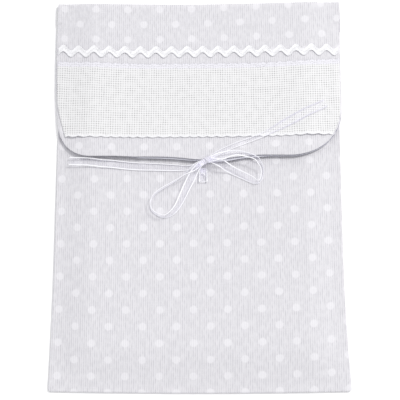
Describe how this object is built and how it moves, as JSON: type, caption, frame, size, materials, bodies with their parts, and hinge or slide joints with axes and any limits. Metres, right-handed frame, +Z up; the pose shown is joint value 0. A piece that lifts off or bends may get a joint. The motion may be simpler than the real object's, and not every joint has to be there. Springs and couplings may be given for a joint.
{
  "type": "fabric envelope bag",
  "caption": "Flat cotton envelope bag with a fold-over flap, a canvas band, a wavy braid and a bow of sheer ribbon, lying closed",
  "frame": {"origin": "middle of the footprint, on the surface that the back panel lies on", "axes": "X across the bag, +Y from the bottom seam to the flap's fold, +Z up out of the front"},
  "size_m": [0.221, 0.3069, 0.0195],
  "materials": {
    "dotted_cotton": "matte ribbed cotton with paler round dots",
    "facing_cotton": "matte plain cotton",
    "canvas": "matte open even-weave embroidery canvas with brighter selvedges",
    "braid": "matte wavy woven braid",
    "organza": "sheer ribbon with bright woven edges"
  },
  "bodies": {
    "root": {"pouch": "dotted_cotton", "flap": "dotted_cotton", "flap_facing": "facing_cotton", "canvas_band": "canvas", "rick_rack_braid": "braid", "bow_knot": "organza", "bow_loop_left": "organza", "bow_loop_right": "organza", "ribbon_tail_left": "organza", "ribbon_tail_right": "organza", "ribbon_tab": "organza"}
  },
  "joints": []
}
